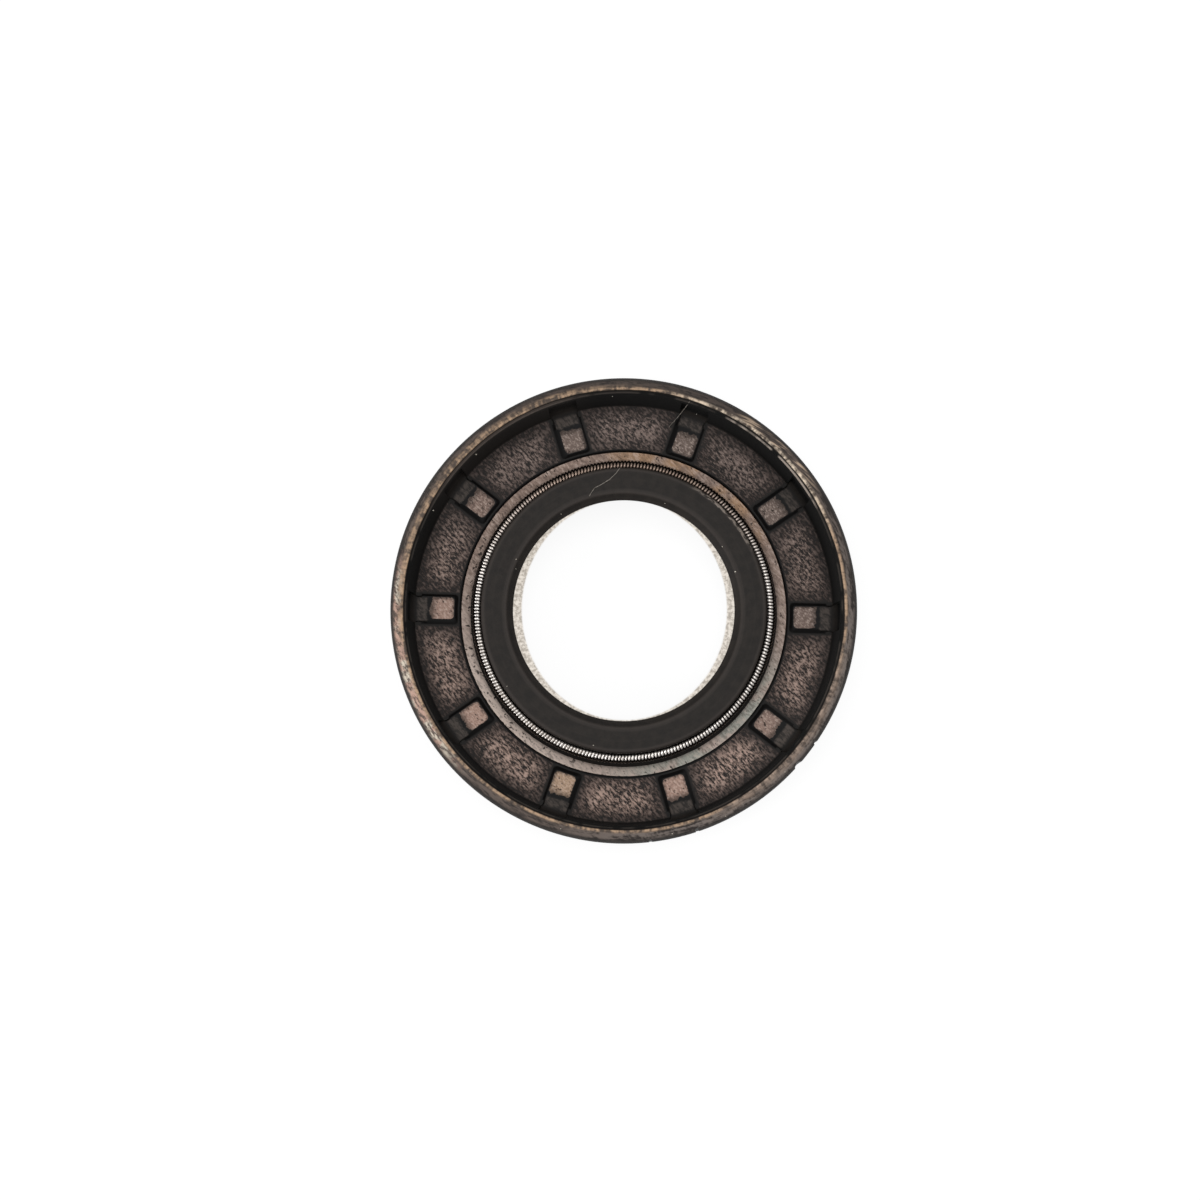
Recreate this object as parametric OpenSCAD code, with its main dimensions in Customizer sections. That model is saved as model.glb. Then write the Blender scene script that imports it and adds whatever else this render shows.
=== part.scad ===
/* [Shaft and housing] */
// Diameter of the shaft that the seal runs on
shaft_d = 20; // [16:0.5:24]
// Diameter of the housing bore that the rubber outside fills
housing_d = 40; // [38:0.5:48]
// Width of the seal along the shaft
seal_w = 7; // [6.5:0.5:10]

/* [Steel case] */
// Thickness of the pressed steel
case_t = 0.7; // [0.5:0.05:0.9]
// Inside radius of the bend between the flange and the wall
case_bend_r = 1.1; // [0.8:0.1:1.4]
// Rubber between the steel wall and the housing
outer_cover = 0.6; // [0.5:0.05:0.9]
// Rubber behind the flange, down to the back face
back_cover = 1; // [0.7:0.05:1.2]
// Rubber above the top edge of the steel wall
rim_cover = 0.7; // [0.6:0.05:1]
// Width of the bare steel ring that shows between web and lip
bare_ring_w = 0.75; // [0.5:0.05:1.2]
// How far the flange reaches inward under the root of the lip
flange_tongue = 0.3; // [0.2:0.05:0.5]
// Room between the spring and the bare ring, seen from above
ring_clearance = 0.15; // [0.1:0.05:0.4]

/* [Rim and web] */
// Rubber over the flange
web_cover = 0.3; // [0.2:0.05:0.45]
// Slope at the inner edge of the web, seen from above
web_edge_w = 0.15; // [0.1:0.05:0.3]
// Rubber inside the steel wall at its foot
wall_cover_foot = 0.57; // [0.4:0.01:0.8]
// Rubber inside the steel wall at its top
wall_cover_top = 0.1; // [0.08:0.01:0.2]
// Width of the small step inside the rim
rim_step_w = 0.2; // [0.1:0.05:0.3]
// Rubber between the steel edge and that step
rim_step_cover = 0.2; // [0.15:0.05:0.3]
// Width of the flat on top of the rim
crest_w = 0.2; // [0.1:0.05:0.3]
// Width of the slope outside the crest
rim_slope_w = 0.78; // [0.5:0.02:0.9]
// Height of the slope outside the crest
rim_slope_h = 0.65; // [0.4:0.05:1]
// Width of the lead-in chamfer at the back
back_chamfer_w = 0.6; // [0.3:0.05:0.9]
// Height of the lead-in chamfer at the back
back_chamfer_h = 1.2; // [0.8:0.1:1.6]
// Radius of the moulded edges
edge_r = 0.1; // [0.05:0.01:0.15]

/* [Pockets in the web] */
// Number of pockets round the web
pocket_count = 10; // [6:1:14]
// Width of the bare floor of a pocket
pocket_floor_w = 1.85; // [1.2:0.05:2.4]
// Width of the sloped sides of a pocket, seen from above
pocket_side_w = 0.33; // [0.15:0.01:0.4]
// How much wider than the pocket, on each side, the slot is that runs from it up the wall
slot_margin = 0.04; // [0.02:0.01:0.2]
// Width of the slope at the inner end of a pocket
pocket_end_w = 0.35; // [0.2:0.05:0.5]
// Width of the ridge left between the web's inner edge and a pocket
pocket_ridge_w = 0.05; // [0.04:0.01:0.2]
// How far the slots in the wall stop below the steel edge
slot_stop = 0.1; // [0.05:0.05:0.5]
// Angle of the first pocket
pocket_turn = 34.6; // [0:0.1:36]

/* [Sealing lip] */
// How much smaller than the shaft the free lip is, on the diameter
lip_interference = 1; // [0.6:0.1:1.4]
// Depth of the sealing edge below the rim
lip_depth = 1.5; // [1.3:0.1:1.9]
// Width of the flat that the sealing edge runs on
lip_land = 0.2; // [0.1:0.05:0.4]
// Angle between the shaft and the lip on the air side
lip_air_angle = 22; // [18:1:28]
// Angle between the shaft and the lip on the spring side
lip_front_angle = 45; // [40:1:60]
// Depth of the nose of the lip below the rim
nose_depth = 0.8; // [0.6:0.05:1]
// Thickness of the flex section between the lip head and the flange
flex_t = 1.05; // [0.8:0.05:1.3]
// Thickness of the ledge that holds the spring from below
groove_ledge = 0.2; // [0.15:0.05:0.35]
// Drop from that ledge to the waist of the flex section
waist_drop = 0.4; // [0.3:0.05:0.5]
// Drop from the waist to the knee on the air side
knee_drop = 0.2; // [0.1:0.05:0.4]
// How far the root of the flex section reaches in from the flange
root_reach = 0.75; // [0.6:0.05:1]
// Height of that root above the flange
root_rise = 0.5; // [0.35:0.05:0.6]

/* [Dust lip] */
// Radial play between the dust lip and the shaft
dust_lip_play = 0.05; // [0:0.05:0.3]
// Thickness of the dust lip at its tip
dust_lip_t = 0.16; // [0.1:0.02:0.3]
// Height of the dust lip's tip above the back face
dust_lip_z = 0.42; // [0.2:0.02:0.6]
// Depth of the hollow behind the dust lip
back_hollow = 0.55; // [0.3:0.05:0.65]
// How much deeper the hollow is at the root of the dust lip
hollow_slope = 0.15; // [0.05:0.05:0.2]
// How far the dust lip's root reaches in from the flange
dust_root_reach = 1.2; // [0.9:0.1:1.5]
// Distance from the flange's inner edge in to the crotch between the lips
crotch_reach = 1.85; // [1.6:0.05:2]
// Height of the crotch above the bottom of the flange
crotch_rise = 0.55; // [0.45:0.05:0.65]
// Distance from the flange's inner edge out to the flat back face
back_land_reach = 0.8; // [0.5:0.1:1.4]

/* [Garter spring] */
// Diameter of the spring wire
wire_d = 0.27; // [0.25:0.01:0.4]
// Outside diameter of one coil
coil_d = 1.4; // [1.1:0.05:1.5]
// Height of the spring's centre above the shaft
spring_height = 2.55; // [2.45:0.05:2.9]
// Distance from the sealing edge back to the spring's centre
spring_offset = 1.15; // [0.9:0.05:1.3]
// Gap between the spring and its groove
spring_gap = 0.02; // [0.01:0.01:0.05]

/* [Hidden] */

rubber_colour = [0.2, 0.185, 0.175];
case_colour = [0.54, 0.49, 0.46];
spring_colour = [0.62, 0.6, 0.58];

round_fn = 180;
arc_steps = 4;
groove_steps = 10;

shaft_r = shaft_d / 2;
housing_r = housing_d / 2;

// Steel case: the wall stands on the flange, with one bend between them
case_out_r = housing_r - outer_cover;
case_in_r = case_out_r - case_t;
case_top = seal_w - rim_cover;
flange_low = back_cover;
flange_top = flange_low + case_t;
bend_centre = [case_in_r - case_bend_r, flange_top + case_bend_r];

// Rim, wall and web
web_top = flange_top + web_cover;
wall_foot_r = case_in_r - wall_cover_foot;
wall_top_r = case_in_r - wall_cover_top;
step_z = case_top + rim_step_cover;
crest_out_r = housing_r - rim_slope_w;
crest_in_r = crest_out_r - crest_w;

// Garter spring: coils touch on the inside of the ring, where they are closest
coil_r = coil_d / 2;
spring_r = shaft_r + spring_height;
lip_r = shaft_r - lip_interference / 2;
lip_z = seal_w - lip_depth;
spring_z = lip_z - spring_offset;
coil_count = floor(2 * PI * (spring_r - coil_r + wire_d / 2) / wire_d);
spring_sides = 8;
ridges_per_coil = 2;
ring_count = coil_count * ridges_per_coil;
coil_furrow = 0.4 * wire_d;

// Lip head: the groove holds the spring from above its middle to below it
groove_r = coil_r + spring_gap;
groove_upper = 118;
groove_lower = 255;
spring_middle = [spring_r, spring_z];
groove_top = spring_middle + groove_r * [cos(groove_upper), sin(groove_upper)];
groove_end = spring_middle + groove_r * [cos(groove_lower), sin(groove_lower)];
nose_z = seal_w - nose_depth;
nose_in_r = lip_r + (nose_z - lip_z - lip_land / 2) * tan(lip_front_angle);
waist_z = groove_end[1] - groove_ledge - waist_drop;
waist_r = air_face_r(waist_z) + flex_t;
knee_z = waist_z - knee_drop;

// Bare ring: it clears the spring, so that the spring can be put in from above
bare_in_r = spring_r + coil_r + ring_clearance;
bare_out_r = bare_in_r + bare_ring_w;
flange_in_r = bare_in_r - flange_tongue;

// Flex section and dust lip
dust_r = shaft_r + dust_lip_play;
crotch_r = flange_in_r - crotch_reach;
crotch_z = flange_low + crotch_rise;
root_r = flange_in_r - root_reach;
root_z = flange_top + root_rise;
dust_root_r = flange_in_r - dust_root_reach;
back_in_r = flange_in_r + back_land_reach;

// Pockets
pocket_in_r = bare_out_r + web_edge_w + pocket_ridge_w + pocket_end_w;
slot_top = case_top - slot_stop;
side_top = web_top + slot_margin * web_cover / pocket_side_w;
pocket_end_r = pocket_in_r - pocket_end_w * (side_top - flange_top) / web_cover;
mid_flange = flange_top - case_t / 2;
mid_wall_r = case_in_r + case_t / 2;

// Radius of the air-side face of the lip at a height
function air_face_r(z) = lip_r + (lip_z - lip_land / 2 - z) * tan(lip_air_angle);

function unit(v) = v / norm(v);

// Points of an arc round a centre
function arc(centre, r, from, to, steps) =
    [for (k = [0:steps]) let (a = from + (to - from) * k / steps) centre + r * [cos(a), sin(a)]];

// Arc that rounds the corner b between a and c, or b itself where the radius is 0
function corner(a, b, c, r) =
    r == 0 ? [b] :
    let (
        u = unit(a - b),
        v = unit(c - b),
        half = acos(u * v) / 2,
        centre = b + unit(u + v) * r / sin(half),
        start = b + u * r / tan(half) - centre,
        finish = b + v * r / tan(half) - centre,
        from = atan2(start[1], start[0]),
        turn = (atan2(finish[1], finish[0]) - from + 540) % 360 - 180
    )
    arc(centre, r, from, from + turn, arc_steps);

function spot(p) = [p[0], p[1]];

// Outline through points of the form [r, z, corner radius]
function rounded(path) =
    [for (i = [0:len(path) - 1])
        each corner(spot(path[max(i - 1, 0)]), spot(path[i]),
                    spot(path[min(i + 1, len(path) - 1)]), path[i][2])];

function sharp(points) = [for (p = points) [p[0], p[1], 0]];

// Section of the case, which is also the inner skin of the rubber
function case_section() = concat(
    [[flange_in_r, flange_top], [flange_in_r, flange_low]],
    arc(bend_centre, case_bend_r + case_t, -90, 0, 2 * arc_steps),
    [[case_out_r, case_top], [case_in_r, case_top]],
    arc(bend_centre, case_bend_r, 0, -90, 2 * arc_steps)
);

// Web, inner wall and rim, from the bare ring outward
function rim_skin() = [
    [bare_out_r, flange_top, 0],
    [bare_out_r + web_edge_w, web_top, 0],
    [wall_foot_r, web_top, edge_r],
    [wall_top_r, step_z - edge_r, 0],
    [wall_top_r + edge_r / 2, step_z, 0],
    [wall_top_r + rim_step_w, step_z, 0],
    [crest_in_r, seal_w, edge_r],
    [crest_out_r, seal_w, edge_r],
    [housing_r, seal_w - rim_slope_h, edge_r]
];

// Outside and back face, down to the dust lip
function back_skin() = [
    [housing_r, back_chamfer_h, edge_r],
    [housing_r - back_chamfer_w, 0, edge_r],
    [back_in_r, 0, edge_r],
    [flange_in_r + edge_r, back_hollow, 3 * edge_r],
    [dust_root_r, back_hollow + hollow_slope, 3 * edge_r],
    [dust_r, dust_lip_z, 0],
    [dust_r, dust_lip_z + dust_lip_t, 0]
];

// Air side of the lip, the sealing edge, the nose and the spring groove
function lip_skin() = concat(
    [
        [crotch_r, crotch_z, 2 * edge_r],
        [air_face_r(knee_z), knee_z, 4 * edge_r],
        [lip_r, lip_z - lip_land / 2, 0],
        [lip_r, lip_z + lip_land / 2, 0],
        [nose_in_r, nose_z, edge_r],
        [groove_top[0], nose_z, 2 * edge_r]
    ],
    sharp(arc(spring_middle, groove_r, groove_upper, groove_lower, groove_steps)),
    [
        [groove_end[0] + edge_r, groove_end[1] - groove_ledge, 0],
        [waist_r, waist_z, 3 * edge_r],
        [root_r, root_z, 3 * edge_r],
        [bare_in_r, flange_top, 0]
    ]
);

// Profile of a pocket and its slot in the wall, bounded by the middle of the steel
function pocket_profile() = concat(
    [[pocket_in_r, mid_flange]],
    arc(bend_centre, case_bend_r + case_t / 2, -90, 0, 2 * arc_steps),
    [
        [mid_wall_r, slot_top],
        [pocket_end_r, slot_top],
        [pocket_end_r, side_top],
        [pocket_in_r, flange_top]
    ]
);

// Half the width of a pocket at a height
function pocket_half(z) = pocket_floor_w / 2 + (z - flange_top) * pocket_side_w / web_cover;

// Straight run of one pocket out from the axis, as wide as the pocket at each height
module pocket_run() {
    half_low = pocket_half(mid_flange);
    half_top = pocket_half(side_top);
    rotate([90, 0, 90])
        linear_extrude(height = housing_r)
            polygon([
                [-half_low, mid_flange], [half_low, mid_flange],
                [half_top, side_top], [half_top, slot_top],
                [-half_top, slot_top], [-half_top, side_top]
            ]);
}

// Pockets where the moulding tool held the case, open to the steel
module pockets() {
    intersection() {
        rotate_extrude($fn = round_fn) polygon(pocket_profile());
        union() {
            for (k = [0:pocket_count - 1])
                rotate([0, 0, pocket_turn + k * 360 / pocket_count]) pocket_run();
        }
    }
}

module rubber_body() {
    color(rubber_colour)
        difference() {
            rotate_extrude($fn = round_fn)
                polygon(concat(rounded(concat(rim_skin(), back_skin(), lip_skin())), case_section()));
            pockets();
        }
}

module steel_case() {
    color(case_colour)
        rotate_extrude($fn = round_fn) polygon(case_section());
}

// Point on the coils: even rings run along the wire, odd ones in the furrow beside it
function coil_point(ring, side) =
    let (
        around = 360 * (ring + ridges_per_coil * side / spring_sides) / ring_count,
        across = 360 * side / spring_sides,
        r = coil_r - (ring % ridges_per_coil) * coil_furrow,
        out = spring_r + r * cos(across)
    )
    [out * cos(around), out * sin(around), spring_z + r * sin(across)];

// Place of a point in the list; past the last side it lies one coil further on
function coil_index(ring, side) =
    ((ring + (side == spring_sides ? ridges_per_coil : 0)) % ring_count) * spring_sides
    + side % spring_sides;

// Outside of a close-wound wire, one endless helix closed into a ring. Its hidden core is left solid
module garter_spring() {
    points = [for (ring = [0:ring_count - 1], side = [0:spring_sides - 1]) coil_point(ring, side)];
    faces = [for (ring = [0:ring_count - 1], side = [0:spring_sides - 1])
        each [
            [coil_index(ring, side), coil_index(ring, side + 1), coil_index(ring + 1, side)],
            [coil_index(ring + 1, side), coil_index(ring, side + 1), coil_index(ring + 1, side + 1)]
        ]];
    color(spring_colour) polyhedron(points = points, faces = faces, convexity = 6);
}

rubber_body();
steel_case();
garter_spring();
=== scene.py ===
import math
import random
from functools import cached_property

import bmesh
import bpy
from mathutils import Matrix, Vector
from mathutils.bvhtree import BVHTree


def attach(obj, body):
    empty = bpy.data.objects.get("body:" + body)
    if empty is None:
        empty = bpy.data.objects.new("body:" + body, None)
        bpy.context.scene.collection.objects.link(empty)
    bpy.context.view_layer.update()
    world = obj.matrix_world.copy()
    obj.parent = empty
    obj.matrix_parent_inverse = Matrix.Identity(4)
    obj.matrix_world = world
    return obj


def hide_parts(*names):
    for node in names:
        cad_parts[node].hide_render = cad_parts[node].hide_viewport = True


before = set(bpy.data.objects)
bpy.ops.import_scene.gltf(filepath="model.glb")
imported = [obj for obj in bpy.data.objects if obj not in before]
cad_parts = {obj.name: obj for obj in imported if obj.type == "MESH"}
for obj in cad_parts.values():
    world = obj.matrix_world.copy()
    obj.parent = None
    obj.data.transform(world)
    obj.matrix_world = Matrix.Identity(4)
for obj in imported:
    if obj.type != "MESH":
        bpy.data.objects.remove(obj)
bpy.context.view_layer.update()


# Bench, camera and light
#
# A shaft seal lies on its flat back face on a pale bench, with the spring side up. The camera stands half a
# metre above it, a little towards the near side, so that the far inner wall shows. A broad soft lamp hangs
# above the far right, a window fills in low from the left, and the room's white walls do the rest.
MM = 0.001
scene = bpy.context.scene
scene.view_settings.view_transform = "Standard"

camera_distance = 500 * MM
camera_tilt = math.radians(4.4)
rim_level = 6.2 * MM
frame_across = 102.78 * MM
sensor_width = 36
# How far the seal lies from the middle of the picture, as shares of its width
seal_right_of_middle = 0.0198
seal_below_middle = 0.0083

lens_data = bpy.data.cameras.new("bench_camera")
lens_data.type = "PERSP"
lens_data.sensor_fit = "HORIZONTAL"
lens_data.sensor_width = sensor_width
lens_data.lens = sensor_width * camera_distance / frame_across
lens_data.shift_x = -seal_right_of_middle
lens_data.shift_y = seal_below_middle
lens_data.clip_start = 0.01
lens_data.clip_end = 20
camera = bpy.data.objects.new("bench_camera", lens_data)
camera.location = (0, -camera_distance * math.sin(camera_tilt),
                   rim_level + camera_distance * math.cos(camera_tilt))
camera.rotation_euler = (camera_tilt, 0, 0)
scene.collection.objects.link(camera)
scene.camera = camera


class Finish:
    """The nodes of one surface finish, with lengths in millimetres from the object's own coordinates."""

    def __init__(self, name):
        self.material = bpy.data.materials.new(name)
        self.material.use_nodes = True
        self.tree = self.material.node_tree
        self.tree.nodes.clear()
        self.end = self.tree.nodes.new("ShaderNodeOutputMaterial")

    def add(self, kind, inputs, output=0, **settings):
        new = self.tree.nodes.new("ShaderNode" + kind)
        for name, value in settings.items():
            setattr(new, name, value)
        for socket, value in inputs.items():
            if isinstance(value, bpy.types.NodeSocket):
                self.tree.links.new(value, new.inputs[socket])
            else:
                new.inputs[socket].default_value = value
        return new.outputs[output]

    def calc(self, operation, a, b=0.0, c=0.0):
        return self.add("Math", {0: a, 1: b, 2: c}, operation=operation)

    # Where a spot lies on the seal, each worked out when a finish first asks for it
    @cached_property
    def spot(self):
        place = self.add("TexCoord", {}, "Object")
        return self.add("VectorMath", {0: place, "Scale": 1 / MM}, operation="SCALE")

    @cached_property
    def height(self):
        return self.add("SeparateXYZ", {0: self.spot}, "Z")

    @cached_property
    def flat(self):
        return self.add("VectorMath", {0: self.spot, 1: (1, 1, 0)}, operation="MULTIPLY")

    @cached_property
    def from_axis(self):
        return self.add("VectorMath", {0: self.flat}, "Value", operation="LENGTH")

    @cached_property
    def heading(self):
        return self.add("VectorMath", {0: self.flat}, operation="NORMALIZE")

    @cached_property
    def around(self):
        east = self.add("SeparateXYZ", {0: self.flat}, "X")
        north = self.add("SeparateXYZ", {0: self.flat}, "Y")
        return self.calc("ARCTAN2", north, east)

    def between(self, value, none, full):
        """0 at none and 1 at full, with a soft step between. None above full turns it round."""
        return self.add("MapRange", {"Value": value, 1: none, 2: full, 3: 0.0, 4: 1.0},
                        interpolation_type="SMOOTHSTEP")

    def band(self, value, rise, full, fade, gone):
        """1 from full to fade, 0 outside rise and gone."""
        return self.both(self.between(value, rise, full), self.between(value, gone, fade))

    def towards(self, degrees, none=-1.0, full=1.0):
        """1 on the side of the ring at this angle from the right, 0 on the opposite side."""
        side = (math.cos(math.radians(degrees)), math.sin(math.radians(degrees)), 0)
        lean = self.add("VectorMath", {0: self.heading, 1: side}, "Value", operation="DOT_PRODUCT")
        return self.between(lean, none, full)

    def both(self, *masks):
        """The product of masks and shares."""
        product = masks[0]
        for mask in masks[1:]:
            product = self.calc("MULTIPLY", product, mask)
        return product

    def either(self, *masks):
        """The strongest of masks."""
        strongest = masks[-1]
        for mask in reversed(masks[:-1]):
            strongest = self.calc("MAXIMUM", mask, strongest)
        return strongest

    def mixed(self, *patterns):
        """The sum of patterns, each given with its share."""
        total = self.both(*patterns[-1])
        for pattern in reversed(patterns[:-1]):
            total = self.calc("ADD", self.both(*pattern), total)
        return total

    def noise(self, scale, detail=2.0, roughness=0.5, at=None):
        """Clouds, with their scale in clouds a millimetre."""
        return self.add("TexNoise", {"Vector": self.spot if at is None else at, "Scale": scale,
                                     "Detail": detail, "Roughness": roughness}, "Fac")

    def uneven(self, pattern, reach):
        """A length that wanders to both sides of nought, over this reach in all."""
        return self.calc("MULTIPLY_ADD", pattern, reach, -reach / 2)

    def grain(self, along, across, detail=2.0, roughness=0.6):
        """Short marks that all run from upper left to lower right. Scales are in marks a millimetre."""
        turned = self.add("VectorRotate", {"Vector": self.spot, "Rotation": (0, 0, math.radians(47))},
                          rotation_type="EULER_XYZ")
        drawn = self.add("VectorMath", {0: turned, 1: (along, across, across)}, operation="MULTIPLY")
        return self.noise(1.0, detail, roughness, drawn)

    def hoops(self, along, across, detail=3.0, roughness=0.6):
        """Marks that run round the rim, with scales in marks a millimetre. 0 across keeps them whole."""
        rim_r = 19.0
        ring = self.add("VectorMath", {0: self.heading, "Scale": rim_r * along}, operation="SCALE")
        level = self.add("CombineXYZ", {2: self.calc("MULTIPLY", self.from_axis, across)})
        return self.noise(1.0, detail, roughness, self.add("VectorMath", {0: ring, 1: level}))

    def colour(self, factor, low, high):
        return self.add("Mix", {0: factor, 6: low, 7: high}, 2, data_type="RGBA")

    def lay(self, base, tint, *masks):
        """The base colour with a tint laid over it where all the masks are."""
        return self.colour(self.both(*masks), base, tint)

    def bump(self, pattern, depth, strength, under=None):
        """A relief this many millimetres deep, on top of the relief under it."""
        inputs = {"Height": pattern, "Distance": depth * MM, "Strength": strength}
        if under is not None:
            inputs["Normal"] = under
        return self.add("Bump", inputs, "Normal")

    def roughness(self, pattern, low, high):
        """Roughness that follows a noise, whose values mostly lie from 0.3 to 0.7."""
        return self.add("MapRange", {"Value": pattern, 1: 0.3, 2: 0.7, 3: low, 4: high})

    def shade(self, **sockets):
        shader = self.add("BsdfPrincipled", {n.replace("_", " "): v for n, v in sockets.items()})
        self.tree.links.new(shader, self.end.inputs["Surface"])
        return self.material


def srgb(red, green, blue):
    """A colour as read off a screen, 0 to 255, for a shader."""
    shares = [value / 255 for value in (red, green, blue)]
    return (*(s / 12.92 if s < 0.04045 else ((s + 0.055) / 1.055) ** 2.4 for s in shares), 1.0)


# The bench lies a hair lower than the back face, so that the two never share a plane
bench_half = 1.6
bench_drop = 0.01 * MM
bench_grey = (0.82, 0.82, 0.82, 1)
seen_grey = (0.2, 0.2, 0.2, 1)
seen_glow = 0.88
white = (1, 1, 1, 1)
card_shadow_dark = (0.42, 0.37, 0.31, 1)
card_shadow_light = (0.86, 0.79, 0.7, 1)
# The washed-out oval under the hole, and the ring past which the card stays white again, in millimetres
clear_half_x = 8.9
clear_half_y = 9.6
clear_right = 0.05
clear_up = 0.5
hole_full = 14.8
hole_gone = 15.2


def pale_bench():
    """Pale speckled card. The camera sees it washed out to white, but for a darker speckled sliver beside the
    lip, a painted shadow.
    """
    finish = Finish("pale_bench")
    centred = finish.add("VectorMath", {0: finish.spot, 1: (-clear_right, -clear_up, 0)}, operation="ADD")
    oval = finish.add("VectorMath", {0: centred, 1: (1 / clear_half_x, 1 / clear_half_y, 0)},
                      operation="MULTIPLY")
    past_clear = finish.between(finish.add("VectorMath", {0: oval}, "Value", operation="LENGTH"), 0.99, 1.01)
    in_hole = finish.between(finish.from_axis, hole_gone, hole_full)
    speckle = finish.between(finish.noise(3.2, 3.0, 0.65), 0.36, 0.64)
    # The speckled sliver between the clear oval and the outer ring is a painted shadow under the lip
    glow = finish.lay(white, finish.colour(speckle, card_shadow_dark, card_shadow_light), past_clear, in_hole)

    body = finish.add("BsdfDiffuse", {"Color": bench_grey, "Roughness": 0.0})
    dimmer = finish.add("BsdfDiffuse", {"Color": seen_grey, "Roughness": 0.0})
    lit = finish.add("Emission", {"Color": glow, "Strength": seen_glow})
    path = finish.tree.nodes.new("ShaderNodeLightPath")
    seen = finish.either(path.outputs["Is Camera Ray"], path.outputs["Is Glossy Ray"],
                         path.outputs["Is Transmission Ray"])
    look = finish.add("MixShader", {0: seen, 1: body, 2: finish.add("AddShader", {0: dimmer, 1: lit})})
    finish.tree.links.new(look, finish.end.inputs["Surface"])
    return finish.material


bench_mesh = bmesh.new()
bmesh.ops.create_grid(bench_mesh, x_segments=1, y_segments=1, size=bench_half,
                      matrix=Matrix.Translation((0, 0, -bench_drop)))
bench_data = bpy.data.meshes.new("bench")
bench_mesh.to_mesh(bench_data)
bench_mesh.free()
bench_data.materials.append(pale_bench())
bench = bpy.data.objects.new("bench", bench_data)
scene.collection.objects.link(bench)

room_light = 0.52
room = bpy.data.worlds.new("white_room")
scene.world = room
room.use_nodes = True
walls = room.node_tree.nodes["Background"]
walls.inputs["Color"].default_value = white
walls.inputs["Strength"].default_value = room_light


def soft_lamp(name, place, across, power):
    """A round soft lamp that looks at the seal, with its place and size in metres."""
    lamp = bpy.data.lights.new(name, "AREA")
    lamp.shape = "DISK"
    lamp.size = across
    lamp.energy = power
    holder = bpy.data.objects.new(name, lamp)
    holder.location = place
    holder.rotation_euler = (-Vector(place)).to_track_quat("-Z", "Y").to_euler()
    scene.collection.objects.link(holder)


soft_lamp("lamp_above", place=(0.03, 0.09, 0.78), across=0.56, power=1.9)
soft_lamp("window_left", place=(-0.6, -0.24, 0.3), across=0.4, power=1.7)


# Steel case
#
# The stiffener of the seal: a ring of L section, deep-drawn from 0.7 mm cold-rolled strip, pierced in the
# middle and coated with a thin brownish bonding primer before the rubber is moulded round it. It shows
# bare in two places: the ring beside the spring, and the floors of the ten pockets.
wall_in_r = 18.7
wall_out_r = 19.4
wall_top = 6.3
flange_in_r = 13.1
flange_low = 1.0
flange_top = 1.7
bend_in_r = 1.1
bend_out_r = 1.8
pressed_edge_r = 0.06
pocket_count = 10
pocket_turn = math.radians(34.6)
pocket_step = 2 * math.pi / pocket_count
ring_steps = 360
same_spot = 1e-5


def ring_of(corners, bend_segments=6):
    """A ring turned round the axis from corners of the form (radius, height, rounding), in millimetres."""
    mesh = bmesh.new()
    spots = [mesh.verts.new((r, 0, z)) for r, z, rounding in corners]
    mesh.faces.new(spots)
    for i, (r, z, rounding) in enumerate(corners):
        if rounding:
            before = Vector(corners[i - 1][:2]) - Vector((r, z))
            after = Vector(corners[(i + 1) % len(corners)][:2]) - Vector((r, z))
            setback = rounding / math.tan(before.angle(after) / 2)
            bmesh.ops.bevel(mesh, geom=[spots[i]], offset=setback, offset_type="OFFSET",
                            segments=bend_segments, profile=0.5, material=-1, affect="VERTICES")
    bmesh.ops.delete(mesh, geom=mesh.faces[:], context="FACES_ONLY")
    bmesh.ops.spin(mesh, geom=mesh.verts[:] + mesh.edges[:], cent=(0, 0, 0), axis=(0, 0, 1),
                   angle=2 * math.pi, steps=ring_steps, use_merge=True)
    bmesh.ops.remove_doubles(mesh, verts=mesh.verts[:], dist=same_spot)
    bmesh.ops.recalc_face_normals(mesh, faces=mesh.faces[:])
    return mesh


def shaped_piece(name, mesh, material, crease=30):
    """The finished piece, scaled from millimetres, smooth but for edges sharper than the crease angle."""
    bmesh.ops.scale(mesh, vec=(MM, MM, MM), verts=mesh.verts[:])
    for face in mesh.faces:
        face.smooth = True
    for edge in mesh.edges:
        edge.smooth = edge.is_manifold and edge.calc_face_angle(0) < math.radians(crease)
    data = bpy.data.meshes.new(name)
    mesh.to_mesh(data)
    mesh.free()
    data.materials.append(material)
    piece = bpy.data.objects.new(name, data)
    scene.collection.objects.link(piece)
    return piece


# Colours of the primed steel, with lit and shaded copies for painted light, and the distances from the axis
# where the ring ends and the pockets begin
primer_shaded_far = srgb(148, 128, 117)
primer_lit_near = srgb(190, 174, 164)
primer_lit_pale = srgb(212, 196, 185)
primer_green = srgb(166, 171, 162)
primer_peach = srgb(172, 140, 112)
floor_shaded_far = srgb(114, 100, 93)
floor_lit_near = srgb(174, 145, 131)
floor_dull = srgb(104, 92, 87)
floor_straw = srgb(180, 153, 130)
grain_dark = srgb(72, 60, 54)
grain_light = srgb(226, 208, 196)
pit_brown = srgb(46, 38, 34)
bruise_brown = srgb(58, 50, 46)
ring_edge_shade = srgb(60, 50, 45)
gap_shade_black = srgb(20, 16, 15)
margin_shade_brown = srgb(52, 44, 40)
ring_gone = 14.1
pocket_full = 14.3


def from_pocket(finish):
    """How far round the ring a spot lies from the middle of the nearest pocket, in millimetres."""
    turned = finish.calc("SUBTRACT", finish.around, pocket_turn)
    return finish.both(finish.calc("PINGPONG", turned, pocket_step / 2), finish.from_axis)


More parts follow.
